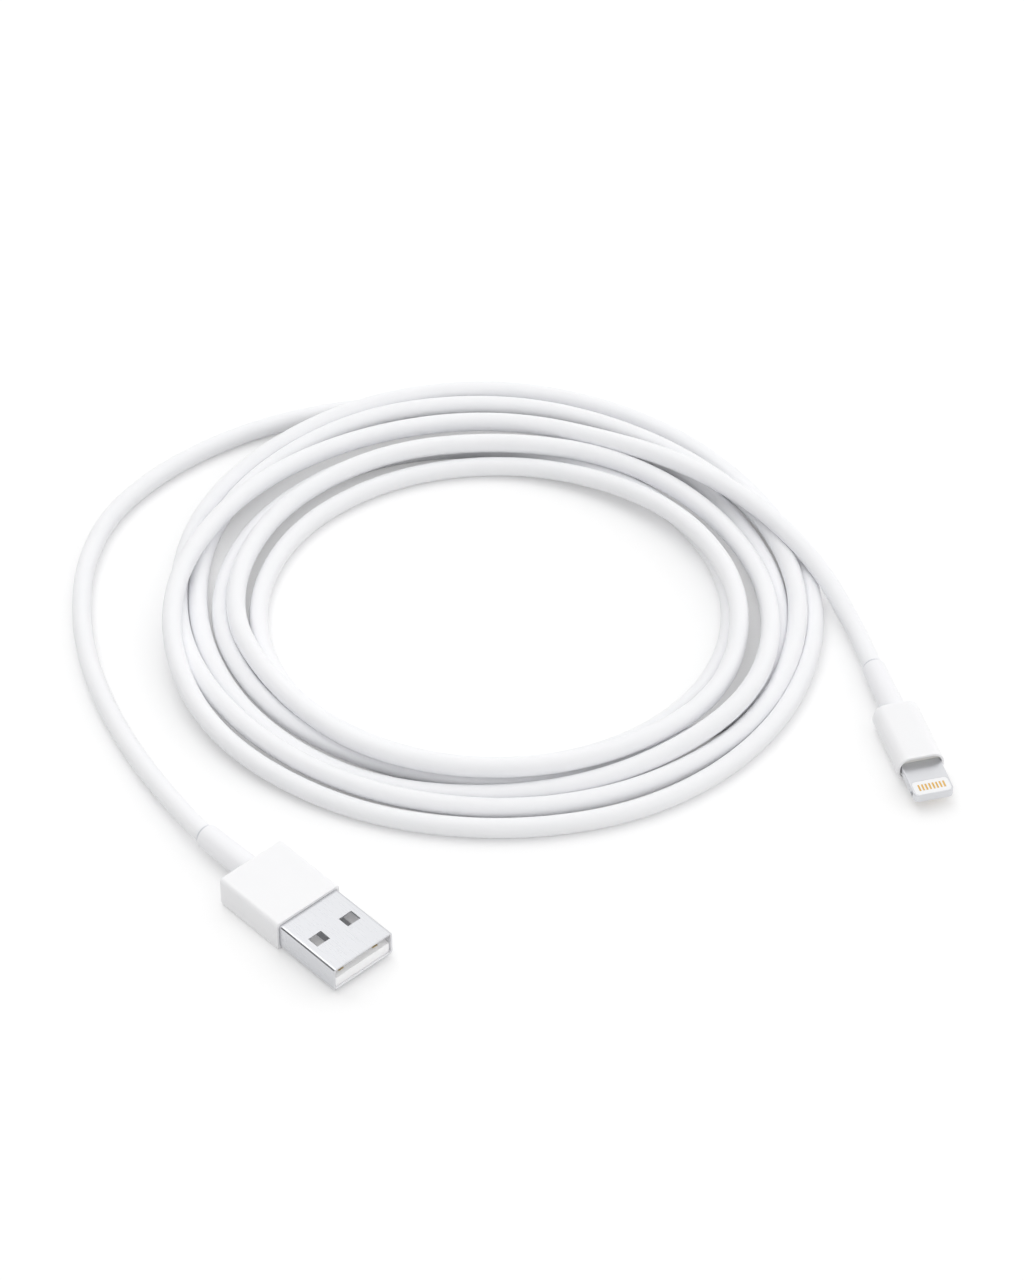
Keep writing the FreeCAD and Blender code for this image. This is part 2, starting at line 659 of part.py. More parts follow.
def make_host_cover():
    """Glossy moulded cover over the shell's tail, with the sleeve's hole in its back wall."""
    body = new_body("host_cover")
    section_bar(body, "host_cover_outside", -host_cover_length, host_cover_length,
                host_cover_width, host_cover_height, host_cover_corner)
    dress(body, "Fillet", host_cover_edge, lambda edge: lies_at(edge, "x", -host_cover_length))
    dress(body, "Fillet", host_cover_lip, lambda edge: lies_at(edge, "x", 0))
    section_hole(body, "host_cover_inside", -host_cover_length + host_cover_back, host_cover_length,
                 host_shell_width + 2 * host_cover_play, host_shell_height + 2 * host_cover_play,
                 host_shell_corner + host_cover_play)
    round_hole(body, "host_cover_hole", -host_cover_length - PAST, host_cover_back + 2 * PAST,
               host_sleeve_neck + 2 * fit_play)
    place(body, HOST, "host_cover")
    make_sleeve("host_strain_relief", HOST, host_cover_length, host_cover_back, host_sleeve_root,
                host_sleeve_neck, host_sleeve_end, host_sleeve_length, host_flange_height)


# ---------------------------------------------------------------- device plug
insert_height = (tab_thickness - board_thickness) / 2 - fit_play
collar_front = -device_mouth_depth
tab_back = collar_front + fit_play
device_can_front = collar_front - device_collar_thickness - fit_play
device_can_back = device_can_front - device_can_length
cover_inside_width = device_cover_width - 2 * device_cover_wall
cover_inside_height = device_cover_height - 2 * device_cover_wall
cover_inside_corner = device_cover_corner - device_cover_wall


def make_tab():
    """Metal frame: flat tab with a window in each face, side notches, and a narrower root."""
    plan = block("tab_plan", tab_back, tab_exposed - tab_back, tab_width, -tab_thickness / 2, tab_thickness)
    doc.recompute()
    tip = [(n + 1, float(tab_corner), float(tab_corner)) for n, edge in enumerate(plan.Shape.Edges)
           if lies_at(edge, "x", tab_exposed) and edge.BoundBox.ZLength > SAME_PLACE]
    rounded = doc.addObject("Part::Fillet", "tab_rounded")
    rounded.Base = plan
    rounded.Edges = tip
    doc.recompute()
    rim = [(n + 1, float(tab_edge), float(tab_edge)) for n, edge in enumerate(rounded.Shape.Edges)
           if (lies_at(edge, "z", tab_thickness / 2) or lies_at(edge, "z", -tab_thickness / 2))
           and not lies_at(edge, "x", tab_back)]
    eased = doc.addObject("Part::Fillet", "tab_eased")
    eased.Base = rounded
    eased.Edges = rim
    root = block("tab_root", tab_back - tab_root_length, tab_root_length, tab_root_width,
                 -tab_thickness / 2, tab_thickness)
    window = slab("tab_window", tab_exposed - insert_setback - insert_length / 2,
                  insert_length + 2 * fit_play, insert_width + 2 * fit_play, insert_corner + fit_play,
                  -tab_thickness, 2 * tab_thickness)
    board_front = tab_exposed - board_setback
    slot = block("tab_slot", tab_back - tab_root_length - PAST,
                 board_front + fit_play - tab_back + tab_root_length + PAST, board_width + 2 * fit_play,
                 -board_thickness / 2 - fit_play, board_thickness + 2 * fit_play)
    tools = [slot, window]
    for side, sign in (("left", 1), ("right", -1)):
        notch = doc.addObject("Part::Cylinder", f"tab_notch_{side}")
        bind(notch, "Radius", tab_notch_radius)
        bind(notch, "Height", tab_notch_height)
        bind(notch, "Placement.Base.x", tab_exposed - tab_notch_setback)
        bind(notch, "Placement.Base.y", (tab_width / 2 + tab_notch_radius - tab_notch_depth) * sign)
        bind(notch, "Placement.Base.z", -tab_notch_height / 2)
        tools.append(notch)
    place(cut("device_tab_frame", fuse("tab_whole", eased, root), *tools), DEVICE, "device_tab_frame")


def make_contact_faces():
    """White inserts flush with both faces of the tab, each holding eight gold pads."""
    middle = tab_exposed - insert_setback - insert_length / 2
    for face, sign in (("top", 1), ("bottom", -1)):
        low = board_thickness / 2 + fit_play if sign > 0 else -tab_thickness / 2
        insert = slab(f"insert_{face}", middle, insert_length, insert_width, insert_corner,
                      low, insert_height)
        outer = tab_thickness / 2 + pad_contact_proud
        pad_low = outer - pad_contact_thickness if sign > 0 else -outer
        pads = [block(f"pad_{face}_{n + 1}", middle - pad_contact_length / 2, pad_contact_length,
                      pad_contact_width, pad_low, pad_contact_thickness, pad_contact_pitch * (n - 3.5))
                for n in range(8)]
        place(cut(f"device_contact_insert_{face}", insert, *pads), DEVICE, f"device_contact_insert_{face}")
        place(group(f"device_contacts_{face}", pads), DEVICE, f"device_contacts_{face}")


def make_board():
    """Circuit board from under the contact pads back to the wires, with what is soldered on it."""
    front = tab_exposed - board_setback
    back = front - board_length
    board = block("board_plain", back, board_length, board_width, -board_thickness / 2, board_thickness)
    place(group("device_circuit_board", [board]), DEVICE, "device_circuit_board")
    top = board_thickness / 2
    controller = block("controller_body", back + chip_setback, controller_length, controller_width,
                       top + fit_play, chip_height)
    place(group("device_controller_chip", [controller]), DEVICE, "device_controller_chip")
    power = block("power_chip_body", back + chip_setback, power_chip_length, power_chip_width,
                  -top - fit_play - chip_height, chip_height)
    place(group("device_power_chip", [power]), DEVICE, "device_power_chip")
    capacitors = [block(f"capacitor_{n + 1}", back + chip_setback + capacitor_pitch * n, capacitor_length,
                        capacitor_width, -top - fit_play - capacitor_width, capacitor_width,
                        capacitor_spread / 2 * sign)
                  for n, sign in enumerate((1, -1, 1, -1))]
    place(group("device_capacitors", capacitors), DEVICE, "device_capacitors")


def make_device_inside():
    """Shield can, cord end, wires soldered to both faces of the board, and the inner moulding."""
    make_can("device", DEVICE, device_can_back, device_can_length, device_can_width, device_can_height,
             device_can_corner, device_can_wall)
    cord_back = -(device_cover_length + device_sleeve_length - cord_entry)
    jacket_end = device_can_back + device_can_wall + jacket_step
    make_cord_end("device", DEVICE, cord_back, jacket_end, device_can_back - fit_play - device_grip_length,
                  device_can_back - fit_play)
    board_back = tab_exposed - board_setback - board_length
    wire_z = board_thickness / 2 + wire_diameter / 2 + fit_play
    wire_end = board_back + device_wire_reach
    starts = []
    middles = []
    ends = []
    for level in (1, -1):
        for sign in (1, -1):
            side = device_wire_spread / 2 * sign
            starts.append((jacket_end, wire_lead * sign, wire_lead * level))
            middles.append([(jacket_end + device_wire_bend, wire_lead * sign, wire_lead * level),
                            (board_back - device_wire_landing, side, wire_z * level)])
            ends.append((wire_end, side, wire_z * level))
    names = ("device_wire_power", "device_wire_data_plus", "device_wire_ground", "device_wire_data_minus")
    make_wires(names, starts, middles, ends, DEVICE)
    joints = [(end[0] + device_solder_length / 2 + fit_play, end[1], board_thickness / 2 * sign, sign)
              for end, sign in zip(ends, (1, 1, -1, -1))]
    make_solder("device", DEVICE, joints, device_solder_length, device_solder_height)
    moulding = new_body("device_inner_mould")
    section_bar(moulding, "device_mould_outside", device_can_back, collar_front - device_can_back,
                cover_inside_width - 2 * fit_play, cover_inside_height - 2 * fit_play,
                cover_inside_corner - fit_play)
    section_hole(moulding, "device_mould_can_seat", device_can_back - PAST,
                 device_can_length + PAST + fit_play, device_can_width + 2 * fit_play,
                 device_can_height + 2 * fit_play, device_can_corner + fit_play)
    section_hole(moulding, "device_mould_tab_seat", device_can_front - PAST,
                 device_collar_thickness + 2 * PAST,
                 tab_root_width + 2 * fit_play, tab_thickness + 2 * fit_play, fit_play)
    place(moulding, DEVICE, "device_inner_mould")


def make_device_cover():
    """Rounded moulded cover, open in front around the tab's collar."""
    body = new_body("device_cover")
    section_bar(body, "device_cover_outside", -device_cover_length, device_cover_length,
                device_cover_width, device_cover_height, device_cover_corner)
    dress(body, "Fillet", device_cover_edge, lambda edge: lies_at(edge, "x", -device_cover_length))
    dress(body, "Fillet", device_cover_lip, lambda edge: lies_at(edge, "x", 0))
    section_hole(body, "device_cover_inside", -device_cover_length + device_cover_back, device_cover_length,
                 cover_inside_width, cover_inside_height, cover_inside_corner)
    round_hole(body, "device_cover_hole", -device_cover_length - PAST, device_cover_back + 2 * PAST,
               device_sleeve_neck + 2 * fit_play)
    place(body, DEVICE, "device_cover")
    make_sleeve("device_strain_relief", DEVICE, device_cover_length, device_cover_back, device_sleeve_root,
                device_sleeve_neck, device_sleeve_end, device_sleeve_length, device_flange_height)


# ---------------------------------------------------------------- cord
def make_coil():
    """The outer shape of the loose turns: a ring, a little wider in front than behind."""
    body = new_body("cord_coil")
    outline = new_sketch(body, "coil_outline", "XY_Plane")
    draw_circle(outline, 2 * coil_outer_radius)
    pad(body, outline, coil_height)
    hole = new_sketch(body, "coil_hole", "XY_Plane", 0.0, coil_hole_shift_x)
    bind(hole, "AttachmentOffset.Base.y", coil_hole_shift_y)
    draw_circle(hole, 2 * coil_inner_radius)
    pocket(body, hole, coil_height)
    dress(body, "Fillet", coil_top_rounding, lambda edge: lies_at(edge, "z", coil_height))
    dress(body, "Fillet", coil_base_rounding, lambda edge: lies_at(edge, "z", 0))
    place(body, COIL, "cord_coil")
    return body


def make_stretch(name, points, coil):
    """An uncoiled stretch of the cord, cut off where it enters the coil."""
    whole = doc.addObject("Part::Feature", f"{name}_whole")
    whole.Shape = lay_tube(points, float(cord_diameter), name)
    stretch = cut(name, whole, coil)
    stretch.Label = name
    pieces.append(stretch)


make_host_shell()
make_host_tongue()
make_host_inside()
make_host_cover()
make_tab()
make_contact_faces()
make_board()
make_device_inside()
make_device_cover()
coil = make_coil()

# From the host plug's sleeve, out and round behind the coil, and in under its back.
floor = float(cord_diameter) / 2
host_end = float(host_cover_length + host_sleeve_length)
device_end = float(device_cover_length + device_sleeve_length)
host_route = [
    on_table(HOST, float(cord_entry) - host_end),
    on_table(HOST, -float(host_lead_out) - host_end),
    Vector(-69.4, 10.9, 1.8),
    Vector(-76.2, 23.9, floor),
    Vector(-81.0, 37.0, floor),
    Vector(-83.4, 50.0, floor),
    Vector(-83.5, 63.0, floor),
    Vector(-80.2, 75.6, floor),
    Vector(-72.1, 86.8, floor),
    Vector(-61.5, 95.6, floor),
    Vector(-49.0, 101.9, floor),
    Vector(-35.2, 105.2, floor),
    Vector(-20.5, 105.0, floor),
]

# From the top of the coil, down over its side, and across the table to the device plug's sleeve.
device_route = [
    Vector(16.0, 88.5, 5.6),
    Vector(27.6, 78.6, 5.2),
    Vector(36.0, 67.9, 4.6),
    Vector(41.9, 58.0, 2.6),
    Vector(46.3, 47.2, 1.7),
    on_table(DEVICE, -float(device_lead_out) - device_end),
    on_table(DEVICE, float(cord_entry) - device_end),
]
make_stretch("cord_host_stretch", host_route, coil)
make_stretch("cord_device_stretch", device_route, coil)
doc.recompute()

# ---------------------------------------------------------------- check and write
for thing in doc.Objects:
    if "Invalid" in thing.State or "Error" in thing.State:
        raise RuntimeError(f"{thing.Label} failed: {thing.State}")
os.makedirs("parts", exist_ok=True)
for piece in pieces:
    shape = piece.Shape
    if shape.isNull() or not shape.isValid() or not shape.Solids:
        raise RuntimeError(f"{piece.Label} has no sound shape")
    shape.exportStep(f"parts/{piece.Label}.step")
    print(f"{piece.Label}: {len(shape.Solids)} solid(s), {shape.Volume:.2f} mm3")
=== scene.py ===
import bpy
import math
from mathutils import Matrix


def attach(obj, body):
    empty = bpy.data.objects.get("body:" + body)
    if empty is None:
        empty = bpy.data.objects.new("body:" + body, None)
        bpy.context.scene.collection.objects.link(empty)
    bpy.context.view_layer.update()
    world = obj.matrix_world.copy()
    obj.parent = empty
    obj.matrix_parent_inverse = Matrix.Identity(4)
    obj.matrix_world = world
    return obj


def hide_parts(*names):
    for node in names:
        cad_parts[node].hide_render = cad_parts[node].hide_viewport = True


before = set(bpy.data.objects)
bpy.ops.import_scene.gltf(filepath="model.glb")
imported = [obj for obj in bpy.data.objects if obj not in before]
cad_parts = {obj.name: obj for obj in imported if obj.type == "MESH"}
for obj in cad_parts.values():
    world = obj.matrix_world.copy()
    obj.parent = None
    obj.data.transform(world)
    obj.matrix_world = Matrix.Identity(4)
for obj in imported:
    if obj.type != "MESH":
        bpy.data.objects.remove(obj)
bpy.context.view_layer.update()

# ---------------------------------------------------------------- camera
# It stands in front of the cable and above it, and looks down on the middle of the coil through
# a long lens, as for any small thing on a table.
look_at = (-0.01035, 0.04497, 0.0)
stand_off = 0.700
look_down = math.radians(42.4)
lens_length = 116.8
film_width = 36.0
camera_data = bpy.data.cameras.new("table_camera")
camera_data.lens = lens_length
camera_data.sensor_width = film_width
camera_data.clip_start = 0.05
camera_data.clip_end = 20.0
camera = bpy.data.objects.new("table_camera", camera_data)
bpy.context.scene.collection.objects.link(camera)
camera.location = (
    look_at[0],
    look_at[1] - stand_off * math.cos(look_down),
    look_at[2] + stand_off * math.sin(look_down),
)
camera.rotation_euler = (math.pi / 2 - look_down, 0.0, 0.0)
bpy.context.scene.camera = camera
bpy.context.scene.view_settings.view_transform = "Standard"

# ---------------------------------------------------------------- table top
# A sheet of matt white board, wide enough for every view. It takes the soft shadow under each
# strand, and it looks a little whiter than the lamps alone make it, also where metal mirrors it.
board_width = 6.0
board_drop = 0.00005
board_white = "#E8E8E8"
board_roughness = 0.95
board_extra_white = 0.22


def linear(code):
    """The linear colour that a socket takes, for an sRGB hex colour."""
    shares = [int(code[place:place + 2], 16) / 255 for place in (1, 3, 5)]
    lit = [s / 12.92 if s <= 0.04045 else ((s + 0.055) / 1.055) ** 2.4 for s in shares]
    return lit + [1.0]


def add_node(holder, kind, sockets, **settings):
    """Adds a node to a material or world, with its settings, its sockets' values and its links."""
    made = holder.node_tree.nodes.new(kind)
    for name, value in settings.items():
        setattr(made, name, value)
    for key, value in sockets.items():
        if isinstance(value, bpy.types.NodeSocket):
            holder.node_tree.links.new(value, made.inputs[key])
        else:
            made.inputs[key].default_value = value
    return made


def empty_material(name):
    """A new node material with nothing in it."""
    material = bpy.data.materials.new(name)
    material.use_nodes = True
    material.node_tree.nodes.clear()
    return material


def close_material(material, **sockets):
    """Ends a material in its one shader, whose sockets are given by name with _ for a space."""
    named = {name.replace("_", " "): value for name, value in sockets.items()}
    shader = add_node(material, "ShaderNodeBsdfPrincipled", named)
    add_node(material, "ShaderNodeOutputMaterial", {"Surface": shader.outputs[0]})
    return material


board = empty_material("matt_white_board")
rays = add_node(board, "ShaderNodeLightPath", {})
seen = add_node(board, "ShaderNodeMath",
                {0: rays.outputs["Is Camera Ray"], 1: rays.outputs["Is Glossy Ray"]},
                operation="MAXIMUM")
whiter = add_node(board, "ShaderNodeMath",
                  {0: seen.outputs[0], 1: board_extra_white}, operation="MULTIPLY")
close_material(board, Base_Color=linear(board_white), Roughness=board_roughness,
               Specular_IOR_Level=0.1, Emission_Color=linear("#FFFFFF"),
               Emission_Strength=whiter.outputs[0])
bpy.ops.object.select_all(action="DESELECT")
bpy.ops.mesh.primitive_plane_add(size=board_width, location=(0.0, 0.0, -board_drop))
table_top = bpy.context.object
table_top.name = "table_top"
table_top.data.materials.append(board)


# ---------------------------------------------------------------- lamps and tent
# A soft box high above the cable, behind it and a little to the left. A white tent round it all
# gives most of the light and is brightest at the back, so that shadows are pale and close. A black
# card hangs in it on the left, which draws a dark line along the metal's edges, as in a studio.
lamp_place = (-0.35, 0.45, 1.40)
lamp_width = 1.0
lamp_watts = 3.4
lamp_data = bpy.data.lights.new("soft_box_back", "AREA")
lamp_data.shape = "SQUARE"
lamp_data.size = lamp_width
lamp_data.energy = lamp_watts
lamp = bpy.data.objects.new("soft_box_back", lamp_data)
bpy.context.scene.collection.objects.link(lamp)
lamp.location = lamp_place
aim = [target - start for target, start in zip(look_at, lamp_place)]
lamp.rotation_euler = (
    math.atan2(math.hypot(aim[0], aim[1]), -aim[2]),
    0.0,
    math.atan2(aim[1], aim[0]) - math.pi / 2,
)

bright_side = (0.30, 0.72, 0.62)
tent_brightest = 1.03
tent_darkest = 0.74
card_side = (-0.88, -0.05, 0.47)
card_edges = (0.88, 0.96)
card_dark = 0.08
tent = bpy.data.worlds.new("white_tent")
tent.use_nodes = True
tent.node_tree.nodes.clear()
bpy.context.scene.world = tent
facing = add_node(tent, "ShaderNodeTexCoord", {}).outputs["Generated"]
toward_light = add_node(tent, "ShaderNodeVectorMath", {0: facing, 1: bright_side},
                        operation="DOT_PRODUCT")
cloth_light = add_node(tent, "ShaderNodeMapRange",
                       {"Value": toward_light.outputs["Value"], "From Min": -1.0, "From Max": 1.0,
                        "To Min": tent_darkest, "To Max": tent_brightest})
toward_card = add_node(tent, "ShaderNodeVectorMath", {0: facing, 1: card_side},
                       operation="DOT_PRODUCT")
card = add_node(tent, "ShaderNodeMapRange",
                {"Value": toward_card.outputs["Value"], "From Min": card_edges[0],
                 "From Max": card_edges[1], "To Min": 1.0, "To Max": card_dark},
                interpolation_type="SMOOTHSTEP")
tent_light = add_node(tent, "ShaderNodeMath", {0: cloth_light.outputs[0], 1: card.outputs[0]},
                      operation="MULTIPLY")
rays = add_node(tent, "ShaderNodeLightPath", {})
direct = add_node(tent, "ShaderNodeMath",
                  {0: rays.outputs["Is Camera Ray"], 1: rays.outputs["Is Transmission Ray"]},
                  operation="MAXIMUM")
level = add_node(tent, "ShaderNodeMix",
                 {0: direct.outputs[0], 2: tent_light.outputs[0], 3: 1.0}, data_type="FLOAT")
cloth = add_node(tent, "ShaderNodeBackground",
                 {"Color": linear("#FFFFFF"), "Strength": level.outputs[0]})
add_node(tent, "ShaderNodeOutputWorld", {"Surface": cloth.outputs[0]})

# ---------------------------------------------------------------- cord
# One unbroken round cord, two metres long, in a white elastomer jacket that was extruded over its
# wires. It leaves the host plug, goes round in six loose turns and ends in the device plug.
cord_diameter = 0.0033
cord_exit = (-0.059045, -0.004292, 0.00285)
from_host_plug = [
    (-0.055151, -0.008454, 0.00285), (-0.059045, -0.004292, 0.00285), (-0.060958, -0.002248, 0.00285),
    (-0.0694, 0.0109, 0.0018), (-0.0762, 0.0239, 0.00165), (-0.0810, 0.0370, 0.00165),
    (-0.0834, 0.0500, 0.00165), (-0.0835, 0.0630, 0.00165), (-0.0802, 0.0756, 0.00165),
    (-0.0721, 0.0868, 0.00165), (-0.0615, 0.0956, 0.00165), (-0.0490, 0.1019, 0.00165),
    (-0.0352, 0.1052, 0.00165), (-0.0205, 0.1050, 0.00165), (-0.0045, 0.1013, 0.00165),
]
to_device_plug = [
    (0.0118, 0.0880, 0.0066), (0.0240, 0.0798, 0.0070), (0.0343, 0.0690, 0.0070),
    (0.0422, 0.0582, 0.0046), (0.0472, 0.0466, 0.0019), (0.049219, 0.037731, 0.00245),
    (0.049824, 0.035409, 0.00245), (0.051261, 0.029893, 0.00245),
]
# Each turn starts at the back right and goes round clockwise, as seen from above, in twelve steps.
# A step says how far out from the coil's middle the cord lies, and how high, in millimetres.
coil_middle = (-0.01235, 0.04997)
first_step = 60.0
turns = [
    [(51.0, 1.65), (48.5, 1.65), (49.1, 1.65), (48.2, 1.65), (42.2, 1.65), (41.9, 1.65),
     (42.5, 1.65), (45.8, 1.65), (49.2, 1.65), (49.3, 1.65), (47.7, 1.65), (44.3, 1.65)],
    [(41.8, 1.65), (40.6, 1.65), (40.3, 1.65), (39.9, 1.65), (38.9, 1.65), (38.6, 1.65),
     (39.3, 1.65), (41.5, 1.65), (42.4, 1.65), (42.1, 1.65), (40.6, 1.69), (39.7, 1.65)],
    [(38.4, 3.08), (39.1, 4.70), (41.4, 4.92), (43.4, 3.98), (42.5, 4.84), (42.3, 4.98),
     (43.2, 4.89), (43.1, 4.30), (46.6, 3.29), (46.7, 3.77), (44.6, 4.57), (42.4, 4.68)],
    [(43.3, 4.56), (44.5, 3.82), (46.8, 3.95), (49.0, 5.29), (45.8, 2.88), (45.0, 1.65),
     (47.9, 1.66), (49.9, 1.66), (52.7, 1.65), (56.7, 2.20), (55.6, 4.81), (53.5, 4.72)],
    [(50.2, 5.30), (52.2, 3.12), (52.1, 3.62), (51.3, 1.83), (49.2, 1.65), (48.8, 2.10),
     (50.9, 3.47), (53.3, 3.74), (56.2, 1.65), (60.0, 2.16), (58.5, 5.10), (58.1, 4.64)],
    [(56.7, 3.05), (54.9, 1.65), (55.0, 1.69), (54.5, 1.65), (54.1, 1.65), (53.0, 1.70),
     (54.4, 1.65), (57.8, 3.28), (57.3, 5.41), (53.6, 5.48), (50.9, 4.39), (48.8, 4.63)],
]
coiled = []
for turn in turns:
    for step, (out, height) in enumerate(turn):
        angle = math.radians(first_step - step * 360 / len(turn))
        coiled.append((
            coil_middle[0] + out / 1000 * math.cos(angle),
            coil_middle[1] + out / 1000 * math.sin(angle),
            height / 1000,
        ))
route = from_host_plug + coiled + to_device_plug
cord_curve = bpy.data.curves.new("cord", "CURVE")
cord_curve.dimensions = "3D"
cord_curve.bevel_depth = cord_diameter / 2
cord_curve.bevel_resolution = 8
line = cord_curve.splines.new("NURBS")
line.points.add(len(route) - 1)
for point, place in zip(line.points, route):
    point.co = (*place, 1.0)
line.order_u = 3
line.use_endpoint_u = True
line.resolution_u = 20
line.use_smooth = True
cord = bpy.data.objects.new("cord", cord_curve)
bpy.context.scene.collection.objects.link(cord)


def soft_white(name, light, shade, gloss, grain, relief, let_in, depth_in):
    """White plastic or elastomer: faint patches of tone and gloss, a fine grain, and light let in.

    gloss is its mean roughness. grain is the grain's width and relief its height. let_in is the
    share of light that enters, and depth_in how far it goes.
    """
    patch_width = 0.006
    gloss_change = 0.05
    grain_strength = 0.3
    material = empty_material(name)
    where = add_node(material, "ShaderNodeTexCoord", {}).outputs["Object"]
    patches = add_node(material, "ShaderNodeTexNoise",
                       {"Vector": where, "Scale": 1 / patch_width, "Detail": 3.0})
    tone = add_node(material, "ShaderNodeMix",
                    {0: patches.outputs["Fac"], 6: linear(shade), 7: linear(light)},
                    data_type="RGBA")
    sheen = add_node(material, "ShaderNodeMapRange",
                     {"Value": patches.outputs["Fac"], "From Min": 0.3, "From Max": 0.7,
                      "To Min": gloss - gloss_change, "To Max": gloss + gloss_change})
    fine = add_node(material, "ShaderNodeTexNoise",
                    {"Vector": where, "Scale": 1 / grain, "Detail": 2.0})
    bumps = add_node(material, "ShaderNodeBump",
                     {"Strength": grain_strength, "Distance": relief,
                      "Height": fine.outputs["Fac"]})
    return close_material(
        material, Base_Color=tone.outputs[2], Roughness=sheen.outputs["Result"], IOR=1.5,
        Normal=bumps.outputs["Normal"], Subsurface_Weight=let_in,
        Subsurface_Radius=(1.0, 1.0, 1.0), Subsurface_Scale=depth_in)


# Thermoplastic elastomer, extruded: satin, and light goes 0.6 mm into it, which fills its shaded
# side. Its real grain is about a tenth of a millimetre, and is drawn four times as coarse.
jacket = soft_white("white_tpe_extruded", "#F8F8FB", "#F3F4F7", gloss=0.55,
                    grain=0.0004, relief=0.00002, let_in=0.5, depth_in=0.0006)
# It is painted greyer for half a millimetre at each sleeve's lip. This painted shade stands in for
# the step's own shade, which is too faint to show.
sleeve_lips = [cord_exit, (0.049824, 0.035409, 0.00245)]
lip_reach = 0.00173
lip_painted_shade = "#CDCFD5"
jacket_shader = jacket.node_tree.nodes["Principled BSDF"]
jacket_tone = jacket_shader.inputs["Base Color"].links[0].from_socket
where = add_node(jacket, "ShaderNodeTexCoord", {}).outputs["Object"]
for lip in sleeve_lips:
    away = add_node(jacket, "ShaderNodeVectorMath", {0: where, 1: lip}, operation="DISTANCE")
    painted_shade_mask = add_node(jacket, "ShaderNodeMapRange",
                    {"Value": away.outputs["Value"], "From Min": cord_diameter / 2,
                     "From Max": lip_reach, "To Min": 1.0, "To Max": 0.0})
    jacket_tone = add_node(jacket, "ShaderNodeMix",
                           {0: painted_shade_mask.outputs["Result"], 6: jacket_tone, 7: linear(lip_painted_shade)},
                           data_type="RGBA").outputs[2]
jacket.node_tree.links.new(jacket_tone, jacket_shader.inputs["Base Color"])
cord_curve.materials.append(jacket)
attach(cord, "root")
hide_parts("cord_coil", "cord_host_stretch", "cord_device_stretch")


# ---------------------------------------------------------------- covers
# Each plug's cover is one injection moulding in white polycarbonate, pushed over the inner
# moulding from behind. It is smooth and bare, with rounded edges and a faint lustre. Its grain is
# drawn coarser than real, as is that of every other moulding.
def paint(material, *names):
    """Gives a material to CAD nodes."""
    for name in names:
        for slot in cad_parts[name].material_slots:
            slot.material = material


cover_plastic = soft_white("white_polycarbonate_moulded", "#F9F9FA", "#F6F6F8", gloss=0.34,
                           grain=0.0003, relief=0.000004, let_in=0.2, depth_in=0.0005)
paint(cover_plastic, "host_cover", "device_cover")

# ---------------------------------------------------------------- strain reliefs
# A short white elastomer sleeve behind each cover, moulded round the cord, which keeps the cord
# from bending sharply. It is a little more matt than the cover.
sleeve_elastomer = soft_white("white_tpe_moulded", "#F8F8FA", "#F4F4F7", gloss=0.45,
                              grain=0.0004, relief=0.00001, let_in=0.15, depth_in=0.0003)
paint(sleeve_elastomer, "host_strain_relief", "device_strain_relief")

# ---------------------------------------------------------------- host plug's shell
# Folded from one piece of steel strip, 0.3 mm thick, and nickel plated. The strip was rolled along
# its length, which leaves fine lines that blur what it mirrors. Such lines are drawn coarser than
# real, on this and every other metal.
host_place = (-0.0421, -0.0224, 0.00285)
host_turn = math.radians(-46.9)
device_place = (0.0560, 0.0117, 0.00245)
device_turn = math.radians(-75.4)


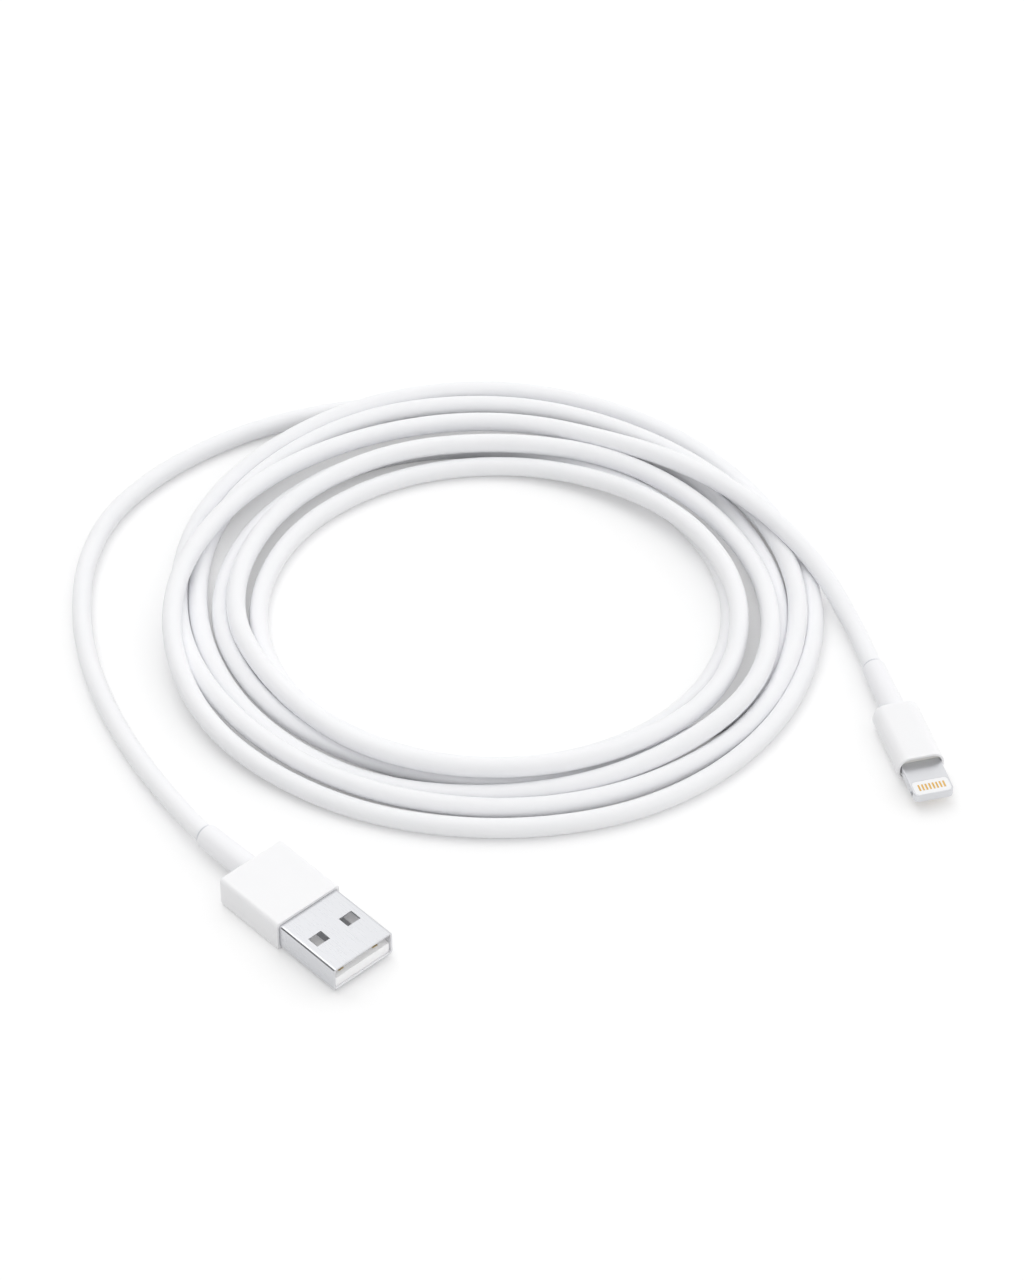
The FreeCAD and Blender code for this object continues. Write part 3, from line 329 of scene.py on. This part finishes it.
def plated_metal(name, light, shade, gloss, place, turn, line_length, line_width, relief,
                 plating_or_painted_light_box=None):
    """Metal with fine lines along the plug, which vary its tone, gloss and height.

    gloss is its mean roughness. The last argument, if given, is a box in the plug's own directions,
    as its middle, its half sizes and another colour that the metal is given inside it: a second
    plating on the contacts, and painted light inside the shell.
    """
    gloss_change = 0.04
    line_strength = 0.4
    material = empty_material(name)
    where = add_node(material, "ShaderNodeTexCoord", {}).outputs["Object"]
    along = add_node(material, "ShaderNodeMapping",
                     {"Vector": where, "Location": place, "Rotation": (0.0, 0.0, turn),
                      "Scale": (line_length, line_width, line_width)}, vector_type="TEXTURE")
    lines = add_node(material, "ShaderNodeTexNoise",
                     {"Vector": along.outputs["Vector"], "Scale": 1.0, "Detail": 2.0})
    tone = add_node(material, "ShaderNodeMix",
                    {0: lines.outputs["Fac"], 6: linear(shade), 7: linear(light)},
                    data_type="RGBA")
    if plating_or_painted_light_box:
        middle, half_sizes, colour = plating_or_painted_light_box
        in_plug = add_node(material, "ShaderNodeMapping",
                           {"Vector": where, "Location": place, "Rotation": (0.0, 0.0, turn)},
                           vector_type="TEXTURE")
        in_box = add_node(material, "ShaderNodeMapping",
                          {"Vector": in_plug.outputs["Vector"], "Location": middle,
                           "Scale": half_sizes}, vector_type="TEXTURE")
        reach = add_node(material, "ShaderNodeVectorMath", {0: in_box.outputs["Vector"]},
                         operation="ABSOLUTE")
        reach = add_node(material, "ShaderNodeSeparateXYZ", {"Vector": reach.outputs["Vector"]})
        wider = add_node(material, "ShaderNodeMath",
                         {0: reach.outputs["X"], 1: reach.outputs["Y"]}, operation="MAXIMUM")
        widest = add_node(material, "ShaderNodeMath",
                          {0: wider.outputs[0], 1: reach.outputs["Z"]}, operation="MAXIMUM")
        inside = add_node(material, "ShaderNodeMath", {0: widest.outputs[0], 1: 1.0},
                          operation="LESS_THAN")
        tone = add_node(material, "ShaderNodeMix",
                        {0: inside.outputs[0], 6: tone.outputs[2], 7: linear(colour)},
                        data_type="RGBA")
    sheen = add_node(material, "ShaderNodeMapRange",
                     {"Value": lines.outputs["Fac"], "From Min": 0.3, "From Max": 0.7,
                      "To Min": gloss - gloss_change, "To Max": gloss + gloss_change})
    bumps = add_node(material, "ShaderNodeBump",
                     {"Strength": line_strength, "Distance": relief,
                      "Height": lines.outputs["Fac"]})
    return close_material(
        material, Base_Color=tone.outputs[2], Roughness=sheen.outputs["Result"], Metallic=1.0,
        Normal=bumps.outputs["Normal"])


# The inside is painted lighter than the outside. This painted light stands, like the tongue's
# glow, for light that bounces about in the shell, because the windows come out too dark
# without it.
shell_inside_painted_light = ((0.0, 0.0, 0.0), (0.03, 0.00575, 0.0020), "#F2F2F4")
shell_steel = plated_metal("nickel_plated_steel_rolled", "#D9DADD", "#D5D6D9", 0.3,
                           host_place, host_turn, line_length=0.004, line_width=0.00015,
                           relief=0.0000001, plating_or_painted_light_box=shell_inside_painted_light)
paint(shell_steel, "host_shell")

# ---------------------------------------------------------------- host plug's tongue
# A block of white engineering plastic that fills the back of the shell and runs out into a flat
# tongue under its top. Moulded, matt, and glass filled, so very slightly mottled. A faint glow is
# painted light: it stands for the light that bounces about in the shell and shows in its windows.
tongue_painted_glow = 0.12
tongue_plastic = soft_white("white_pbt_glass_filled", "#F9F9FA", "#F3F3F5", gloss=0.45,
                            grain=0.0003, relief=0.00001, let_in=0.5, depth_in=0.0010)
tongue_shader = tongue_plastic.node_tree.nodes["Principled BSDF"]
tongue_shader.inputs["Emission Color"].default_value = linear("#FFFFFF")
tongue_shader.inputs["Emission Strength"].default_value = tongue_painted_glow
paint(tongue_plastic, "host_tongue")

# ---------------------------------------------------------------- contacts
# Stamped copper alloy with a flash of gold: four spring contacts on the tongue, and eight flat
# pads in each face of the tab. Bright, and worn faintly lighter along the way it is rubbed. The
# springs are gold at the front, where the socket touches them, and bare nickel behind that.
contact_backs = ((-0.007, 0.0, 0.0), (0.015, 0.006, 0.003), "#E9EAEC")
host_gold = plated_metal("gold_plated_copper_host", "#EFDCAE", "#E3CC96", 0.45,
                         host_place, host_turn, line_length=0.003, line_width=0.0002,
                         relief=0.000002, plating_or_painted_light_box=contact_backs)
paint(host_gold, "host_contacts")
device_gold = plated_metal("gold_plated_copper_device", "#E3BA6C", "#D6A957", 0.35,
                           device_place, device_turn, line_length=0.002, line_width=0.0002,
                           relief=0.000002)
paint(device_gold, "device_contacts_top", "device_contacts_bottom")

# ---------------------------------------------------------------- tab
# The device plug's tab is a frame of stainless steel, formed and then polished by tumbling, with a
# window in each face for the contact insert and a notch in each side for the socket's springs.
tab_steel = plated_metal("stainless_steel_tumbled", "#DCDDE0", "#D8D9DC", 0.36,
                         device_place, device_turn, line_length=0.001, line_width=0.0002,
                         relief=0.0000002)
paint(tab_steel, "device_tab_frame")

# ---------------------------------------------------------------- contact inserts
# White plastic moulded round the eight pads, flush with them, one in each face of the tab.
insert_plastic = soft_white("white_lcp_moulded", "#F8F8F9", "#F3F4F5", gloss=0.4,
                            grain=0.0003, relief=0.000004, let_in=0.1, depth_in=0.0003)
paint(insert_plastic, "device_contact_insert_top", "device_contact_insert_bottom")

# ---------------------------------------------------------------- shields and crimp rings
# Inside each cover: a shield can in two halves, pressed from thin tinned steel, and a brass ring
# that is crimped on the cord's end. Both are dull. The can has drawing lines along the plug, and
# the ring has turning lines round it.
host_tin = plated_metal("tinned_steel_pressed_host", "#C9CBCE", "#B4B7BC", 0.42,
                        host_place, host_turn, line_length=0.004, line_width=0.0003,
                        relief=0.000004)
paint(host_tin, "host_shield_upper", "host_shield_lower", "host_solder")
device_tin = plated_metal("tinned_steel_pressed_device", "#C9CBCE", "#B4B7BC", 0.42,
                          device_place, device_turn, line_length=0.004, line_width=0.0003,
                          relief=0.000004)
paint(device_tin, "device_shield_upper", "device_shield_lower", "device_solder")
host_brass = plated_metal("brass_turned_host", "#D9B978", "#C5A25F", 0.35,
                          host_place, host_turn, line_length=0.0003, line_width=0.003,
                          relief=0.000004)
paint(host_brass, "host_crimp_ring")
device_brass = plated_metal("brass_turned_device", "#D9B978", "#C5A25F", 0.35,
                            device_place, device_turn, line_length=0.0003, line_width=0.003,
                            relief=0.000004)
paint(device_brass, "device_crimp_ring")

# ---------------------------------------------------------------- braids
# Fine tinned copper wires woven round the cord's core and folded back over the jacket under the
# crimp ring. The real wires are 0.08 mm, and the weave's bands of six or so are what shows.
def woven_copper(name, place, turn):
    """Two sets of slanting bands that cross. Inside it, lengths are in millimetres."""
    band_spacing = 0.5
    slant_round = 4.0
    material = empty_material(name)
    where = add_node(material, "ShaderNodeTexCoord", {}).outputs["Object"]
    along = add_node(material, "ShaderNodeMapping",
                     {"Vector": where, "Location": place, "Rotation": (0.0, 0.0, turn),
                      "Scale": (0.001, 0.001, 0.001)}, vector_type="TEXTURE").outputs["Vector"]
    split = add_node(material, "ShaderNodeSeparateXYZ", {"Vector": along})
    around = add_node(material, "ShaderNodeMath",
                      {0: split.outputs["Z"], 1: split.outputs["Y"]}, operation="ARCTAN2")
    sets = []
    for lean in (slant_round, -slant_round):
        slant = add_node(material, "ShaderNodeMath", {0: around.outputs[0], 1: lean, 2: 0.0},
                         operation="MULTIPLY_ADD")
        run = add_node(material, "ShaderNodeMath",
                       {0: split.outputs["X"], 1: 2 * math.pi / band_spacing,
                        2: slant.outputs[0]}, operation="MULTIPLY_ADD")
        bands = add_node(material, "ShaderNodeMath", {0: run.outputs[0]}, operation="SINE")
        sets.append(bands.outputs[0])
    weave = add_node(material, "ShaderNodeMath", {0: sets[0], 1: sets[1]}, operation="MAXIMUM")
    height = add_node(material, "ShaderNodeMapRange",
                      {"Value": weave.outputs[0], "From Min": -1.0})
    # The weave is drawn darker where it lies low: painted shade in the hollows between the bands.
    tone = add_node(material, "ShaderNodeMix",
                    {0: height.outputs["Result"], 6: linear("#8E5A3C"), 7: linear("#D89A74")},
                    data_type="RGBA")
    bumps = add_node(material, "ShaderNodeBump",
                     {"Strength": 0.6, "Distance": 0.00004, "Height": height.outputs["Result"]})
    return close_material(material, Base_Color=tone.outputs[2], Metallic=1.0, Roughness=0.38,
                          Normal=bumps.outputs["Normal"])


paint(woven_copper("braided_copper_host", host_place, host_turn), "host_braid")
paint(woven_copper("braided_copper_device", device_place, device_turn), "device_braid")

# ---------------------------------------------------------------- cord ends
# The cord's own jacket goes on into each plug, up to the wires, so it has the jacket's finish.
paint(jacket, "host_cord_tail", "device_cord_tail")


# ---------------------------------------------------------------- wires
# Four stranded wires in each plug, insulated in coloured PVC as is usual: red and black for the
# supply, green and white for the data pair. Extruded, with a slight waxy gloss.
def wire_insulation(name, light, shade):
    """Coloured PVC with a faint ripple from the strands under it."""
    ripple_width = 0.0004
    material = empty_material(name)
    where = add_node(material, "ShaderNodeTexCoord", {}).outputs["Object"]
    ripple = add_node(material, "ShaderNodeTexNoise",
                      {"Vector": where, "Scale": 1 / ripple_width, "Detail": 1.0})
    tone = add_node(material, "ShaderNodeMix",
                    {0: ripple.outputs["Fac"], 6: linear(shade), 7: linear(light)},
                    data_type="RGBA")
    bumps = add_node(material, "ShaderNodeBump",
                     {"Strength": 0.3, "Distance": 0.00002, "Height": ripple.outputs["Fac"]})
    return close_material(material, Base_Color=tone.outputs[2], Roughness=0.38, IOR=1.53,
                          Normal=bumps.outputs["Normal"])


red_pvc = wire_insulation("red_pvc", "#C8342C", "#A9251F")
paint(red_pvc, "host_wire_power", "device_wire_power")
black_pvc = wire_insulation("black_pvc", "#2B2B2D", "#1C1C1E")
paint(black_pvc, "host_wire_ground", "device_wire_ground")
green_pvc = wire_insulation("green_pvc", "#2E9A57", "#1F7D43")
paint(green_pvc, "host_wire_data_plus", "device_wire_data_plus")
white_pvc = wire_insulation("white_pvc", "#EDEDEA", "#DCDCD8")
paint(white_pvc, "host_wire_data_minus", "device_wire_data_minus")

# ---------------------------------------------------------------- circuit board
# Glass-fibre laminate under green solder resist, with copper tracks that show through it as paler
# lines along the board, half a millimetre apart.
track_spacing = 0.0005
track_length = 0.006
laminate = empty_material("green_glass_epoxy_laminate")
where = add_node(laminate, "ShaderNodeTexCoord", {}).outputs["Object"]
along = add_node(laminate, "ShaderNodeMapping",
                 {"Vector": where, "Location": device_place, "Rotation": (0.0, 0.0, device_turn),
                  "Scale": (track_length / 2, track_spacing, track_spacing)},
                 vector_type="TEXTURE")
tracks = add_node(laminate, "ShaderNodeTexBrick",
                  {"Vector": along.outputs["Vector"], "Color1": linear("#2E7A4C"),
                   "Color2": linear("#2A7046"), "Mortar": linear("#174F2E"), "Scale": 1.0,
                   "Mortar Size": 0.2, "Mortar Smooth": 0.1, "Brick Width": 2.0,
                   "Row Height": 1.0})
ridge = add_node(laminate, "ShaderNodeBump",
                 {"Strength": 0.4, "Distance": 0.00002, "Height": tracks.outputs["Fac"]},
                 invert=True)
close_material(laminate, Base_Color=tracks.outputs["Color"], Roughness=0.3, IOR=1.52,
               Normal=ridge.outputs["Normal"])
paint(laminate, "device_circuit_board")

# ---------------------------------------------------------------- chips
# Two small circuits on the board, each moulded in black epoxy filled with silica, which leaves
# it matt, with specks a twentieth of a millimetre wide that are drawn twice as coarse.
speck_width = 0.0001
epoxy = empty_material("black_epoxy_silica_filled")
where = add_node(epoxy, "ShaderNodeTexCoord", {}).outputs["Object"]
specks = add_node(epoxy, "ShaderNodeTexNoise",
                  {"Vector": where, "Scale": 1 / speck_width, "Detail": 2.0})
tone = add_node(epoxy, "ShaderNodeMix",
                {0: specks.outputs["Fac"], 6: linear("#1D1E20"), 7: linear("#34363A")},
                data_type="RGBA")
pits = add_node(epoxy, "ShaderNodeBump",
                {"Strength": 0.4, "Distance": 0.000005, "Height": specks.outputs["Fac"]})
close_material(epoxy, Base_Color=tone.outputs[2], Roughness=0.6, IOR=1.55,
               Normal=pits.outputs["Normal"])
paint(epoxy, "device_controller_chip", "device_power_chip")

# ---------------------------------------------------------------- capacitors
# Four ceramic capacitors in a row on the board, fired from layers of a tan ceramic, with a
# slightly mottled and glazed surface.
mottle_width = 0.00015
ceramic = empty_material("tan_fired_ceramic")
where = add_node(ceramic, "ShaderNodeTexCoord", {}).outputs["Object"]
mottle = add_node(ceramic, "ShaderNodeTexNoise",
                  {"Vector": where, "Scale": 1 / mottle_width, "Detail": 3.0})
tone = add_node(ceramic, "ShaderNodeMix",
                {0: mottle.outputs["Fac"], 6: linear("#A88A63"), 7: linear("#C9AE86")},
                data_type="RGBA")
skin = add_node(ceramic, "ShaderNodeBump",
                {"Strength": 0.3, "Distance": 0.000005, "Height": mottle.outputs["Fac"]})
close_material(ceramic, Base_Color=tone.outputs[2], Roughness=0.35, IOR=1.6,
               Normal=skin.outputs["Normal"])
paint(ceramic, "device_capacitors")

# ---------------------------------------------------------------- inner mouldings
# Polyethylene in its natural colour, injected round the wires inside each cover before the cover
# goes on. Waxy, and cloudy where it cooled unevenly.
inner_poly = soft_white("natural_polyethylene_moulded", "#F1F0EC", "#E6E5E0", gloss=0.5,
                        grain=0.0008, relief=0.00003, let_in=0.3, depth_in=0.0010)
paint(inner_poly, "host_inner_mould", "device_inner_mould")
